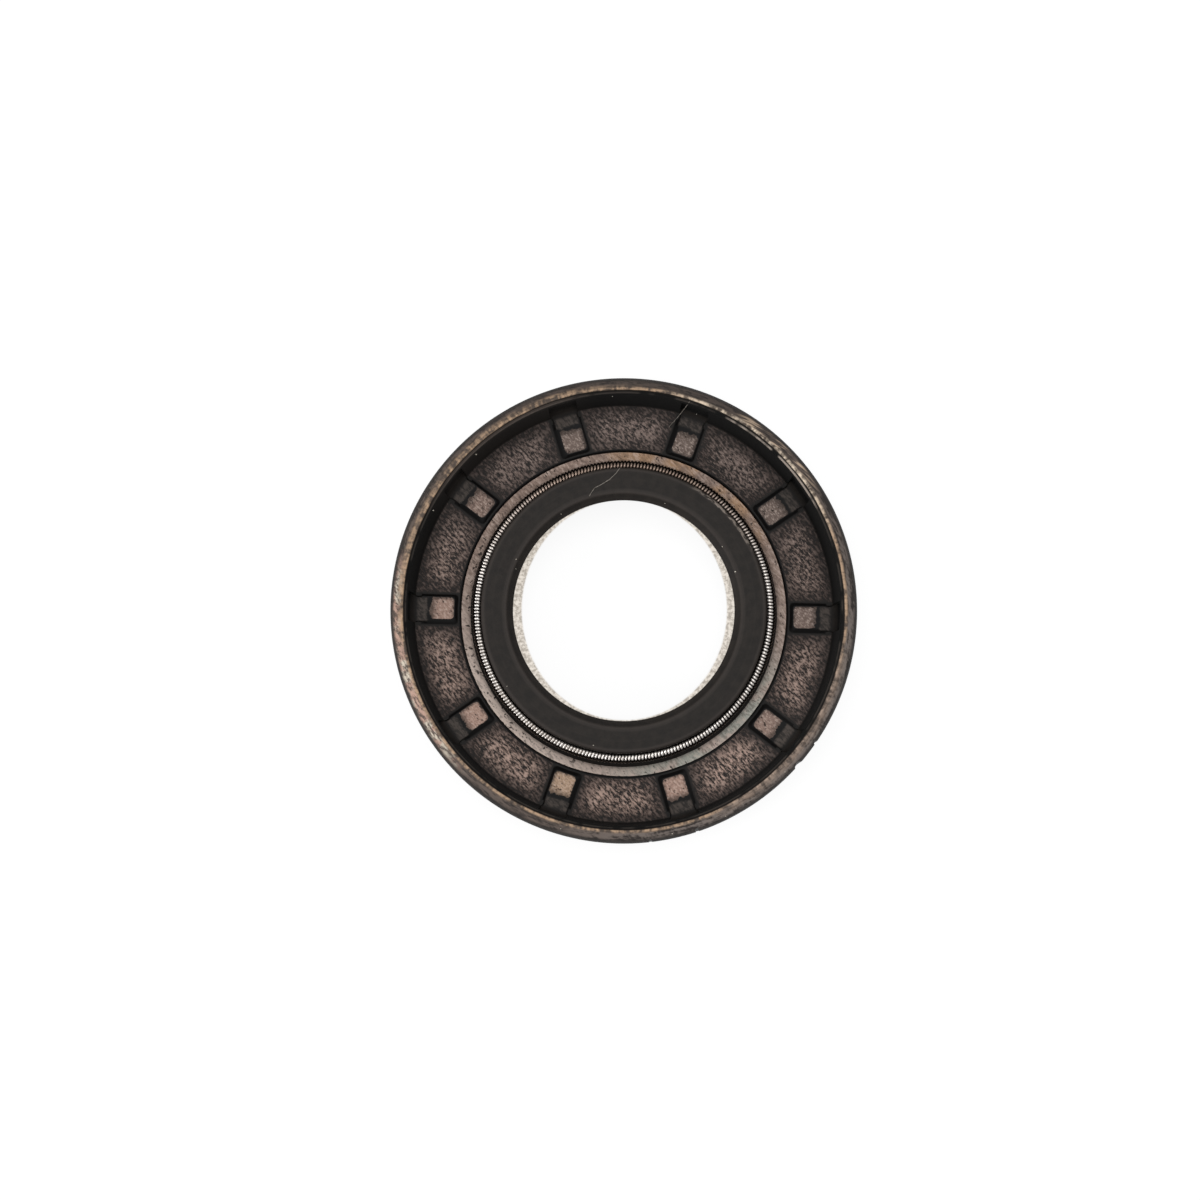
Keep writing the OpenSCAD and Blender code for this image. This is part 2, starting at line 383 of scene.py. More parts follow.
def primed_steel():
    """Cold-rolled steel under a thin primer: grey with pink, green and straw tints, and fine dark pits."""
    finish = Finish("primed_steel")
    from_axis = finish.from_axis

    # On the ring the primer is greenish at the near right and peach at the far right, with painted light that
    # makes it lighter towards the near side and pale at the near left
    ring = finish.colour(finish.towards(265, -0.6, 0.9), primer_shaded_far, primer_lit_near)
    ring = finish.lay(ring, primer_lit_pale, finish.towards(222, 0.8, 0.97))
    ring = finish.lay(ring, primer_green, finish.towards(305, 0.7, 0.98),
                      finish.between(finish.noise(0.5, 3.0), 0.34, 0.56), 0.8)
    ring = finish.lay(ring, primer_peach, finish.towards(62, 0.7, 0.98),
                      finish.between(finish.noise(0.35), 0.4, 0.58))

    # The floors of the pockets carry painted light, lighter and browner towards the near side; one of them is
    # dull and one straw
    pocket = finish.colour(finish.towards(245), floor_shaded_far, floor_lit_near)
    pocket = finish.lay(pocket, floor_dull, finish.towards(342, 0.85, 0.97), 0.33)
    pocket = finish.lay(pocket, floor_straw, finish.towards(251, 0.93, 0.98))
    in_pocket = finish.between(from_axis, ring_gone, pocket_full)
    base = finish.colour(in_pocket, ring, pocket)

    # Drawing marks on the ring, finer blasted ones in the pockets, pits, and a bruise at the far left
    drawn = finish.grain(1.8, 5.0, 3.0, 0.7)
    blasted = finish.grain(3.4, 6.4, 3.0, 0.65)
    grain = finish.calc("MULTIPLY_ADD", in_pocket, finish.calc("SUBTRACT", blasted, drawn), drawn)
    dark_share = finish.add("MapRange", {"Value": in_pocket, 1: 0.0, 2: 1.0, 3: 0.55, 4: 0.45})
    base = finish.lay(base, grain_dark, finish.between(grain, 0.52, 0.36), dark_share)
    base = finish.lay(base, grain_light, finish.between(grain, 0.5, 0.64), 0.42)
    pits = finish.between(finish.grain(2.6, 4.4, 1.0), 0.34, 0.28)
    base = finish.lay(base, pit_brown, pits, 0.85)
    base = finish.lay(base, bruise_brown, finish.towards(140, 0.86, 0.97), finish.between(grain, 0.5, 0.42),
                      finish.between(finish.noise(1.4), 0.5, 0.6), 0.6)

    # Painted shade darkens the ring's pierced edge beside the spring, with black patches of it at the near
    # left, and the pockets where the rubber begins
    base = finish.lay(base, ring_edge_shade, finish.between(from_axis, 13.48, 13.3), 0.3)
    base = finish.lay(base, gap_shade_black, finish.between(finish.noise(2.4, 1.0), 0.63, 0.67),
                      finish.towards(200, 0.3, 0.8), finish.between(from_axis, 13.75, 13.6), 0.9)
    ragged = finish.uneven(finish.noise(3.4, 3.0, 0.65), 0.7)
    sideways = finish.calc("ADD", from_pocket(finish), ragged)
    outwards = finish.calc("ADD", from_axis, ragged)
    # The floor darkens along the pocket's sides and ends: painted shade under the rubber walls, and partly
    # the film's torn edge at the outer end
    margin_shade = finish.either(finish.between(sideways, 0.72, 1.02), finish.between(outwards, 14.97, 14.61),
                           finish.between(outwards, 16.0, 16.7))
    base = finish.lay(base, margin_shade_brown, in_pocket, margin_shade, 0.78)

    surface = finish.bump(grain, 0.02, 0.5)
    surface = finish.bump(pits, -0.02, 0.5, surface)
    return finish.shade(Base_Color=base, Metallic=0.75, Roughness=finish.roughness(grain, 0.5, 0.64),
                        Normal=surface)


case_section = [
    (flange_in_r, flange_top, pressed_edge_r),
    (flange_in_r, flange_low, pressed_edge_r),
    (wall_out_r, flange_low, bend_out_r),
    (wall_out_r, wall_top, pressed_edge_r),
    (wall_in_r, wall_top, pressed_edge_r),
    (wall_in_r, flange_top, bend_in_r),
]
steel_case = shaped_piece("steel_case_pressed", ring_of(case_section), primed_steel())
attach(steel_case, "root")
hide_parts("steel_case")


# Rubber body
#
# One moulding of black nitrile rubber, pressed and cured round the case: outside sleeve, rim, back face,
# web, flex section, sealing lip and dust lip. Ten support pins of the mould held the case off the tool,
# and left the ten pockets in the web. A little rubber crept under them and lies as a thin film outside.
outside_r = 20.0
sleeve_foot_r = 19.76
draft_from = 5.7
seal_width = 7.0
crest_out_r = 19.11
crest_in_r = 18.92
slope_foot = 6.35
step_level = 6.5
step_out_r = 18.72
step_in_r = 18.59
wall_head_r = 18.54
wall_head = 6.4
web_level = 2.0
wall_foot_r = 18.07
web_in_r = 14.17
bare_ring_out_r = 14.03
bare_ring_in_r = 13.24
chamfer_top = 1.2
back_out_r = 19.4
back_in_r = 13.9
dust_lip_r = 10.05
lip_r = 9.5
lip_top = 6.2
soft_edge_r = 0.1

spring_ring_r = 12.55
spring_level = 4.35
groove_r = 0.56
groove_points = 10
groove_from = math.radians(120)
groove_to = math.radians(255)
groove_turns = [groove_from + (groove_to - groove_from) * k / groove_points for k in range(groove_points + 1)]
groove_arc = [(spring_ring_r + groove_r * math.cos(turn), spring_level + groove_r * math.sin(turn), 0)
              for turn in groove_turns]

rubber_section = [
    # Web, from the bare ring to the foot of the wall
    (bare_ring_out_r, flange_top, 0),
    (web_in_r, web_level, 0.05),
    (wall_foot_r, web_level, soft_edge_r),
    # Inner wall, its step, the crest and the slope of the rim
    (wall_head_r, wall_head, 0.05),
    (step_in_r, step_level, 0),
    (step_out_r, step_level, 0.04),
    (crest_in_r, seal_width, soft_edge_r),
    (crest_out_r, seal_width, 0.45),
    (outside_r, slope_foot, 0.75),
    # Outside sleeve and back face
    (outside_r, draft_from, 0),
    (sleeve_foot_r, chamfer_top, soft_edge_r),
    (back_out_r, 0, soft_edge_r),
    (back_in_r, 0, soft_edge_r),
    # Underside of the flex section, and the dust lip
    (13.2, 0.55, 0.3),
    (11.9, 0.7, 0.3),
    (dust_lip_r, 0.42, 0),
    (dust_lip_r, 0.58, 0),
    (11.25, 1.55, 0.2),
    # Sealing lip with the groove behind it
    (10.53, 2.85, 0.4),
    (lip_r, 5.4, 0),
    (lip_r, 5.6, 0),
    (10.1, lip_top, 0.16),
    (groove_arc[0][0], lip_top, 0.25),
    *groove_arc,
    # Top of the flex section
    (12.464, 3.455, 0.05),
    (11.5, 3.05, 0.3),
    (12.35, 2.2, 0.3),
    (bare_ring_in_r, flange_top, 0),
    # Faces against the steel case
    (flange_in_r, flange_top, 0),
    (flange_in_r, flange_low, 0),
    (wall_out_r, flange_low, bend_out_r),
    (wall_out_r, wall_top, 0),
    (wall_in_r, wall_top, 0),
    (wall_in_r, flange_top, bend_in_r),
]

# A pocket has its film's level, its slope at the inner end, its two sides and the slot up the wall
film_level = 1.735
pocket_in_r = 14.61
pocket_end_r = 14.33
pocket_out_r = 17.52
pocket_corner_r = 0.3
pocket_half_low = 1.0
pocket_half_high = 1.26
pocket_lip_half = 1.34
pocket_lip_r = 0.05
pocket_lip_foot = web_level - pocket_lip_r
pocket_tool_top = 2.4
slot_in_r = 17.0
slot_mouth_r = 17.8
slot_foot = 2.3
slot_top = 6.2
bend_middle_r = wall_in_r - bend_in_r
bend_middle_z = flange_top + bend_in_r
film_bend_r = bend_middle_z - film_level
corner_segments = 6
on_edge = 1e-4


def rolled_out(block, pocket, shift_at):
    """Bends a straight block, drawn as (distance from the axis, sideways, up), into its place on the ring."""
    for vert in block.verts:
        r, sideways, z = vert.co
        turn = pocket_turn + pocket * pocket_step + (sideways - shift_at(z)) / r
        vert.co = (r * math.cos(turn), r * math.sin(turn), z)


def closed(block):
    """The block with all its faces outwards and in triangles, as a cutter has to be."""
    bmesh.ops.recalc_face_normals(block, faces=block.faces[:])
    bmesh.ops.triangulate(block, faces=block.faces[:])
    return block


def only(kind, geometry):
    """The vertices or the faces in what an operator gives back."""
    return [part for part in geometry if isinstance(part, kind)]


def pin_face(in_r, out_r, half, z, corner_r):
    """A flat plate across a pocket, with its two inner corners rounded."""
    block = bmesh.new()
    corners = [block.verts.new((r, side, z)) for r, side in ((in_r, -half), (out_r, -half),
                                                             (out_r, half), (in_r, half))]
    block.faces.new(corners)
    bmesh.ops.bevel(block, geom=[corners[0], corners[3]], offset=corner_r, offset_type="OFFSET",
                    segments=corner_segments, profile=0.5, material=-1, affect="VERTICES")
    return block


def side_at(z):
    """Half the width of a pocket at a height: sloped sides with a soft edge at the web."""
    if z <= pocket_lip_foot:
        up_side = (z - film_level) / (pocket_lip_foot - film_level)
        return pocket_half_low + (pocket_half_high - pocket_half_low) * up_side
    up_lip = min(1, (z - pocket_lip_foot) / pocket_lip_r)
    return pocket_half_high + (pocket_lip_half - pocket_half_high) * up_lip ** 2


def pocket_bowl():
    """The room of one pocket above its floor, from the slope at its inner end to the foot of the wall."""
    block = pin_face(pocket_in_r, pocket_out_r, 1, film_level, pocket_corner_r)
    for side in [e for e in block.edges if e.calc_length() > 1]:
        bmesh.ops.subdivide_edges(block, edges=[side], cuts=10)
    layer = block.faces[:][0]
    for z in (pocket_lip_foot, web_level - pocket_lip_r / 2, web_level, pocket_tool_top):
        region = [layer] if z == pocket_lip_foot else [layer, *layer.edges]
        layer = only(bmesh.types.BMFace, bmesh.ops.extrude_face_region(block, geom=region)["geom"])[0]
        for vert in layer.verts:
            vert.co.z = z
    for vert in block.verts:
        lift = min(1, (vert.co.z - film_level) / (web_level - film_level))
        reach = (pocket_out_r - vert.co.x) / (pocket_out_r - pocket_in_r)
        vert.co.x -= reach * (pocket_in_r - pocket_end_r) * lift
        vert.co.y *= side_at(vert.co.z)
    return closed(block)


def wall_slot():
    """The slot that the pin left round the bend and up the wall outside the pocket."""
    bend = [(bend_middle_r + film_bend_r * math.sin(math.radians(a)),
             bend_middle_z - film_bend_r * math.cos(math.radians(a))) for a in range(0, 91, 10)]
    outline = [(slot_in_r, film_level), *bend, (bend[-1][0], slot_top), (slot_mouth_r, slot_top),
               (slot_mouth_r, slot_foot), (slot_in_r, slot_foot), (slot_in_r, pocket_lip_foot)]
    block = bmesh.new()
    profile = block.faces.new([block.verts.new((r, -1, z)) for r, z in outline])
    grown = bmesh.ops.extrude_face_region(block, geom=[profile], use_keep_orig=True)["geom"]
    bmesh.ops.translate(block, vec=(0, 2, 0), verts=only(bmesh.types.BMVert, grown))
    long_edges = [e for e in block.edges if abs(e.verts[0].co.y - e.verts[1].co.y) > 1]
    bmesh.ops.subdivide_edges(block, edges=long_edges, cuts=9, use_grid_fill=True)
    for vert in block.verts:
        vert.co.y *= min(side_at(vert.co.z), pocket_half_high)
    return closed(block)


# The bare patch in a pocket, and how far the film's torn edge reaches in tongues, fringe and sides
bare_half = 0.95
bare_in_r = 14.68
bare_out_r = 16.7
bare_corner_r = 0.38
bare_low = 1.6
bare_depth = 0.16
fringe_steps = 24
tongue_count = 8
tongue_reach = (-0.2, 0.12)
fringe_reach = (-0.07, 0.05)
side_reach = (-0.03, 0.015)


def bare_patch():
    """The patch of steel that the pin's face kept clean, with the torn edge of the film at its outer end."""
    block = pin_face(bare_in_r, bare_out_r, bare_half, bare_low, bare_corner_r)
    torn = [e for e in block.edges if all(abs(v.co.x - bare_out_r) < on_edge for v in e.verts)]
    bmesh.ops.subdivide_edges(block, edges=torn, cuts=fringe_steps - 1)
    for side in [e for e in block.edges if abs(e.verts[0].co.x - e.verts[1].co.x) > 1]:
        bmesh.ops.subdivide_edges(block, edges=[side], cuts=12)
    tongues = [random.uniform(*tongue_reach) for k in range(tongue_count)]
    for vert in block.verts:
        if abs(vert.co.x - bare_out_r) < on_edge:
            along = (vert.co.y / bare_half + 1) / 2 * (tongue_count - 1.001)
            whole = int(along)
            tongue = tongues[whole] + (tongues[whole + 1] - tongues[whole]) * (along - whole)
            vert.co.x += tongue + random.uniform(*fringe_reach)
        elif abs(abs(vert.co.y) - bare_half) < on_edge:
            vert.co.y += random.uniform(*side_reach)
    grown = bmesh.ops.extrude_face_region(block, geom=block.faces[:])["geom"]
    bmesh.ops.translate(block, vec=(0, 0, bare_depth), verts=only(bmesh.types.BMVert, grown))
    return closed(block)


# Nicks in the outer edge as (angle in degrees, width, depth, height of the foot)
outer_nicks = [(318.4, 0.95, 0.3, 2.2), (325.3, 0.42, 0.2, 3.2), (288.4, 0.19, 0.32, 2.8),
               (276.6, 0.22, 0.24, 3.2)]
# A nick's sides are a little rough, and it is shallower by this share of its depth at its foot
nick_tool_top = 8
nick_rough = 0.015
nick_fades = 0.4


def nick_tool(degrees, width, depth, foot):
    """A rough upright peg that bites a nick of this width and depth into the outer edge, down to its foot."""
    block = bmesh.new()
    peg_r = (width * width / 4 + depth * depth) / (2 * depth)
    bmesh.ops.create_cone(block, cap_ends=True, segments=14, radius1=peg_r, radius2=peg_r,
                          depth=nick_tool_top - foot)
    rough = {}
    for vert in block.verts:
        column = round(math.atan2(vert.co.y, vert.co.x), 2)
        bite = depth - rough.setdefault(column, random.uniform(-nick_rough, nick_rough))
        vert.co.x += outside_r + peg_r - bite
        if vert.co.z < 0:
            vert.co.x += depth * nick_fades
        vert.co.z += (nick_tool_top + foot) / 2
    bmesh.ops.rotate(block, cent=(0, 0, 0), matrix=Matrix.Rotation(math.radians(degrees), 3, "Z"),
                     verts=block.verts[:])
    return closed(block)


# Colours of the rubber, from the plain black of the lip to the web's bloom and the crest's painted highlight
rubber_dark = srgb(27, 23, 20)
rubber_light = srgb(36, 31, 27)
turned_grey = srgb(58, 52, 48)
lip_edge_highlight = srgb(66, 59, 55)
scuff_grey = srgb(150, 138, 128)
smooth_black = srgb(27, 24, 22)
speckle_dark = srgb(38, 33, 31)
bloom_thin = srgb(92, 80, 75)
bloom_shaded_far = srgb(147, 129, 121)
bloom_lit_near = srgb(214, 183, 168)
grit_pale = srgb(226, 200, 188)
shade_black = srgb(9, 8, 8)
film_dark = srgb(50, 45, 42)
film_light = srgb(88, 79, 73)
wall_black = srgb(13, 12, 11)
wall_reflection_grey = srgb(36, 32, 29)
slope_dark = srgb(50, 44, 41)
slope_brown = srgb(98, 86, 79)
slope_grey = srgb(126, 116, 110)
slope_edge_shade = srgb(28, 24, 22)
slope_far_shade = srgb(44, 38, 35)
patch_brown = srgb(90, 77, 70)
patch_rose = srgb(190, 156, 140)
patch_cream = srgb(216, 204, 186)
crest_dark = srgb(84, 73, 65)
crest_gold = srgb(188, 158, 130)
crest_glint = srgb(242, 222, 198)
crest_grey = srgb(176, 154, 138)
wisp_gold = srgb(216, 190, 164)
step_glint_dim = srgb(92, 84, 78)
step_glint_grey = srgb(96, 86, 80)
step_glint_bright = srgb(190, 176, 164)


def moulded_rubber():
    """Nitrile rubber: matt and dark on the lip, mottled on the web, with a painted gold highlight on the
    crest.
    """
    finish = Finish("moulded_rubber")
    from_axis, height, off_pocket = finish.from_axis, finish.height, from_pocket(finish)

    # Plain black rubber, a little uneven, with faint rings from the turned mould
    rings = finish.noise(1.0, 3.0, at=finish.add("CombineXYZ", {0: finish.calc("MULTIPLY", from_axis, 6.0),
                                                                2: finish.calc("MULTIPLY", height, 6.0)}))
    base = finish.colour(finish.between(finish.noise(1.3, 3.0), 0.3, 0.7), rubber_dark, rubber_light)
    base = finish.lay(base, turned_grey, finish.between(rings, 0.5, 0.75), 0.35)

    # The two rounded edges of the lip carry a little grey, a painted highlight where they round over
    edge_highlight = finish.either(finish.band(from_axis, 9.95, 10.08, 10.16, 10.5),
                         finish.band(from_axis, 11.85, 12.07, 12.2, 12.28))
    base = finish.lay(base, lip_edge_highlight, finish.between(height, 5.5, 5.7), edge_highlight, 0.45)

    # Mottle of the web: a blasted tool surface with a pale bloom, its bright specks partly painted highlights
    # on the bumps. The bloom is painted lighter towards the near side, and fades to black beside the pockets
    # and the edges as painted shade
    streaks = finish.grain(1.95, 5.0, 3.0, 0.66)
    speckle = finish.mixed((streaks, 0.68), (finish.noise(2.8, 3.0, 0.6), 0.17), (finish.noise(0.55), 0.15))
    speckle = finish.calc("POWER", finish.between(speckle, 0.43, 0.585), 1.3)
    bloom_out_of_shade = finish.both(finish.between(off_pocket, 1.3, 3.5), finish.band(from_axis, 13.7, 15.9, 16.3, 17.95))
    side_lit_bloom = finish.colour(finish.towards(262), bloom_shaded_far, bloom_lit_near)
    web = finish.colour(speckle, speckle_dark, finish.colour(bloom_out_of_shade, bloom_thin, side_lit_bloom))
    web = finish.lay(web, finish.colour(0.5, side_lit_bloom, grit_pale),
                     finish.between(finish.grain(3.2, 7.5), 0.55, 0.66), bloom_out_of_shade, 0.62)
    above_back = finish.between(height, 1.3, 1.5)
    base = finish.lay(base, smooth_black, finish.band(from_axis, 14.2, 14.26, 17.94, 18.13),
                      finish.between(height, 2.1, 2.03), above_back)
    on_web = finish.both(finish.band(from_axis, 14.22, 14.32, 17.94, 18.08),
                         finish.between(off_pocket, 1.36, 1.6), finish.band(height, 1.94, 1.98, 2.01, 2.06))
    base = finish.lay(base, web, on_web)
    # A painted shade line in the crevice between the bare ring and the web
    base = finish.lay(base, shade_black, finish.band(from_axis, 13.9, 13.96, 14.24, 14.3),
                      finish.between(height, 1.6, 1.7))

    # In the pockets: black sides as painted shade, and a thin film with a torn edge
    base = finish.lay(base, shade_black, finish.band(from_axis, 14.2, 14.3, 17.84, 18.04),
                      finish.between(height, 1.99, 1.96), above_back)
    frayed = finish.calc("ADD", from_axis, finish.uneven(finish.noise(2.6, 3.0, 0.6), 0.5))
    film = finish.colour(finish.between(streaks, 0.38, 0.6), film_dark, film_light)
    base = finish.lay(base, film, finish.between(frayed, 16.88, 17.14),
                      finish.between(from_axis, 18.04, 17.64), finish.between(off_pocket, 1.12, 0.9),
                      finish.between(height, 2.1, 2.0), above_back)

    # The inner wall stays black, but for a grey painted reflection along a stretch at the far left
    on_wall = finish.both(finish.band(from_axis, 17.99, 18.14, 18.8, 18.86),
                          finish.between(height, 2.02, 2.3))
    base = finish.lay(base, finish.colour(finish.towards(126, 0.86, 0.97), wall_black, wall_reflection_grey), on_wall)

    # Slope of the rim: brown bloom, with painted shade towards its outer edge and on the far side
    up_top = finish.between(height, 6.2, 6.5)
    near_right = finish.towards(322, 0.84, 0.97)
    brushed = finish.mixed((finish.hoops(0.5, 4.5), 0.6), (finish.grain(1.2, 4.0, 3.0), 0.4))
    tint = finish.colour(finish.towards(322, 0.2, 0.95), slope_brown, slope_grey)
    brown = finish.colour(finish.between(brushed, 0.4, 0.58), slope_dark, tint)
    brown = finish.lay(brown, slope_edge_shade, finish.between(from_axis, 19.58, 19.84), 0.85)
    brown = finish.lay(brown, slope_far_shade, finish.towards(90, 0.6, 0.95), 0.4)
    base = finish.lay(base, brown, finish.between(from_axis, 18.98, 19.14), finish.between(height, 6.1, 6.5))

    # A pale mottled patch on it at the near left, partly bloom and partly a painted highlight on the side
    # that faces the window
    cream = finish.colour(finish.between(finish.noise(0.8), 0.46, 0.58), patch_rose, patch_cream)
    mottled = finish.lay(patch_brown, cream, finish.between(finish.grain(1.3, 3.4, 4.0, 0.7), 0.4, 0.58))
    base = finish.lay(base, mottled, finish.towards(195, 0.84, 0.96), up_top,
                      finish.band(from_axis, 18.85, 19.0, 19.55, 19.85))

    # Crest: a painted highlight in broken lines, with a painted glint at the far right, wider at the near
    # right and softly so at the far left
    crest_r = finish.calc("ADD", from_axis, finish.uneven(finish.hoops(0.25, 0.0, 2.0), 0.16))
    crest_highlight = finish.both(finish.band(crest_r, 18.87, 18.94, 19.03, 19.25), finish.between(height, 6.7, 6.83))
    soft_crest_highlight = finish.both(finish.band(crest_r, 18.9, 19.05, 19.2, 19.55), finish.towards(140, 0.5, 0.9),
                              up_top, 0.8)
    wide_crest_highlight = finish.both(finish.band(crest_r, 18.86, 18.98, 19.1, 19.72), near_right, up_top, 0.72)
    broken = finish.mixed((finish.hoops(0.55, 2.5, 4.0, 0.7), 0.5), (finish.hoops(2.4, 1.2, 2.0), 0.5))
    lit = finish.colour(finish.towards(50, 0.84, 0.98), crest_gold, crest_glint)
    lit = finish.lay(lit, crest_grey, near_right)
    base = finish.lay(base, finish.colour(finish.between(broken, 0.4, 0.6), crest_dark, lit),
                      finish.either(crest_highlight, soft_crest_highlight, wide_crest_highlight))

    # Scratches that leave the crest at the far right
    run = finish.calc("MULTIPLY", finish.around, 19.3)
    slanted = finish.calc("MULTIPLY_ADD", run, 0.2, from_axis)
    wisps = finish.noise(1.0, at=finish.add("CombineXYZ", {0: finish.calc("MULTIPLY", run, 0.35),
                                                           1: finish.calc("MULTIPLY", slanted, 4.5)}))
    base = finish.lay(base, wisp_gold, finish.between(wisps, 0.52, 0.62), finish.towards(46, 0.965, 0.99),
                      finish.band(from_axis, 19.05, 19.2, 19.55, 19.8), up_top, 0.8)

    # A painted glint along the step inside the crest, grey at the far left and brightest at the far right
    on_step = finish.between(height, 6.3, 6.42)
    step_glint = finish.both(finish.band(from_axis, 18.61, 18.67, 18.74, 18.82), on_step,
                         finish.between(finish.hoops(0.5, 0.0, 2.0), 0.4, 0.55))
    base = finish.lay(base, step_glint_dim, step_glint, 0.35)
    base = finish.lay(base, step_glint_grey, finish.towards(126, 0.88, 0.97),
                      finish.band(from_axis, 18.6, 18.68, 18.8, 18.88), on_step, 0.6)
    base = finish.lay(base, step_glint_bright, step_glint, finish.towards(46, 0.94, 0.975), 0.75)

    # Light scuffs on the outer edge of the lip at the far right
    base = finish.lay(base, scuff_grey, finish.band(from_axis, 11.9, 12.04, 12.19, 12.28),
                      finish.between(height, 5.9, 6.1), finish.towards(43, 0.94, 0.985),
                      finish.between(finish.hoops(0.9, 5.0), 0.46, 0.6), 0.8)

    fine = finish.noise(14.0, 3.0)
    surface = finish.bump(fine, 0.012, 0.4)
    surface = finish.bump(rings, 0.02, 0.25, surface)
    surface = finish.bump(finish.both(on_web, speckle), 0.06, 0.7, surface)
    rough = finish.calc("ADD", finish.roughness(fine, 0.56, 0.7), finish.calc("MULTIPLY", on_wall, 0.28))
    return finish.shade(Base_Color=base, Roughness=rough, Specular_IOR_Level=0.28, Normal=surface)


def unscaled(name, mesh):
    """A helper object that still measures in millimetres, for cutting."""
    data = bpy.data.meshes.new(name)
    mesh.to_mesh(data)
    mesh.free()
    helper = bpy.data.objects.new(name, data)
    scene.collection.objects.link(helper)
    return helper


def gathered(blocks):
    """Several blocks in one mesh."""
    whole = bmesh.new()
    for block in blocks:
        data = bpy.data.meshes.new("block")
        block.to_mesh(data)
        block.free()
        whole.from_mesh(data)
        bpy.data.meshes.remove(data)
    return whole


# How far each pin stood to the side of its place, which shows at the floor and fades out higher up
pin_shifts = [-0.03, 0.1, 0.14, 0.1, 0.13, 0.09, 0.08, 0.0, -0.03, -0.08]
shift_fades_over = 0.24
random.seed(5)
bowls, slots, patches = [], [], []
for pocket, shift in enumerate(pin_shifts):
    bowl, slot, patch = pocket_bowl(), wall_slot(), bare_patch()
    rolled_out(bowl, pocket, lambda z: shift * max(0, 1 - (z - film_level) / shift_fades_over))
    rolled_out(slot, pocket, lambda z: 0)
    rolled_out(patch, pocket, lambda z: shift)
    bowls.append(bowl)
    slots.append(slot)
    patches.append(patch)
nicks = [nick_tool(*nick) for nick in outer_nicks]

blank = unscaled("rubber_blank", ring_of(rubber_section, 5))
tools = [unscaled("cutting_tool", gathered(blocks)) for blocks in (bowls, slots, patches, nicks)]
for tool in tools:
    cut = blank.modifiers.new("cut", "BOOLEAN")
    cut.operation = "DIFFERENCE"
    cut.solver = "MANIFOLD"
    cut.object = tool
bpy.context.view_layer.update()
cut_mesh = bmesh.new()
cut_mesh.from_mesh(blank.evaluated_get(bpy.context.evaluated_depsgraph_get()).to_mesh())
for helper in [blank, *tools]:
    bpy.data.objects.remove(helper)
bmesh.ops.remove_doubles(cut_mesh, verts=cut_mesh.verts[:], dist=same_spot / 10)
rubber_body = shaped_piece("rubber_body_moulded", cut_mesh, moulded_rubber())
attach(rubber_body, "root")
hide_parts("rubber_body")


# Garter spring
#
# Hard-drawn spring wire, 0.26 mm thick, wound close into a long coil whose ends are screwed together into a
# ring. It lies in the groove behind the sealing lip and presses the lip on the shaft.
coil_count = 278
wire_r = 0.131
coil_middle_r = 0.4
points_per_coil = 16
spring_points = coil_count * points_per_coil

# Colours of the wire's painted highlight and of the painted shade between its turns
wire_highlight_pale = srgb(248, 242, 236)
wire_highlight_far = srgb(140, 122, 111)
oil_brown = srgb(168, 150, 134)
coil_shade_black = srgb(24, 21, 20)
coil_shade_brown = srgb(80, 70, 65)


def drawn_wire():
    """Hard-drawn wire: a painted highlight along each coil's crown, dimmer on the far side and a little
    browned by oil, with painted black shade in the furrows between the coils.
    """
    finish = Finish("drawn_wire")
    off_ring = finish.calc("SUBTRACT", finish.from_axis, spring_ring_r)
    off_level = finish.calc("SUBTRACT", finish.height, spring_level)
    from_core = finish.calc("SQRT", finish.calc("ADD", finish.both(off_ring, off_ring),
                                                finish.both(off_level, off_level)))
    bright = finish.colour(finish.towards(88, 0.1, 0.95), wire_highlight_pale, wire_highlight_far)
    bright = finish.lay(bright, oil_brown, finish.between(finish.noise(0.6, 3.0), 0.4, 0.7), 0.3)

    # Each coil carries its painted highlight along a line on its crown, which lies further out on the near
    # side
    highlight_line = finish.calc("MULTIPLY_ADD", finish.towards(270), 0.05, 0.02)
    off_highlight = finish.calc("ABSOLUTE", finish.calc("SUBTRACT", off_ring, highlight_line))
    crown = finish.calc("MULTIPLY_ADD", finish.towards(226, 0.75, 0.97), 0.05, from_core)
    coil_shade = finish.colour(finish.between(crown, 0.44, 0.5), coil_shade_black, coil_shade_brown)
    base = finish.lay(coil_shade, bright, finish.between(crown, 0.435, 0.5), finish.between(off_highlight, 0.28, 0.18))

    lines = finish.noise(22.0)
    return finish.shade(Base_Color=base, Metallic=1.0, Roughness=finish.roughness(lines, 0.24, 0.36),
                        Normal=finish.bump(lines, 0.004, 0.4))


def round_along(name, places, radius, roundness, is_ring):
    """A round wire or fibre along these places: a closed ring, or a length with its two ends closed."""
    line = bpy.data.curves.new(name, "CURVE")
    line.dimensions = "3D"
    line.bevel_depth = radius
    line.bevel_resolution = roundness
    line.use_fill_caps = not is_ring
    run = line.splines.new("POLY")
    run.points.add(len(places) - 1)
    run.use_cyclic_u = is_ring
    for point, place in zip(run.points, places):
        point.co = (*place, 1)
    holder = bpy.data.objects.new(name, line)
    scene.collection.objects.link(holder)
    bpy.context.view_layer.update()
    solid = bpy.data.meshes.new_from_object(holder.evaluated_get(bpy.context.evaluated_depsgraph_get()))
    bpy.data.objects.remove(holder)
    mesh = bmesh.new()
    mesh.from_mesh(solid)
    bpy.data.meshes.remove(solid)
    bmesh.ops.remove_doubles(mesh, verts=mesh.verts[:], dist=same_spot)
    bmesh.ops.recalc_face_normals(mesh, faces=mesh.faces[:])
    return mesh


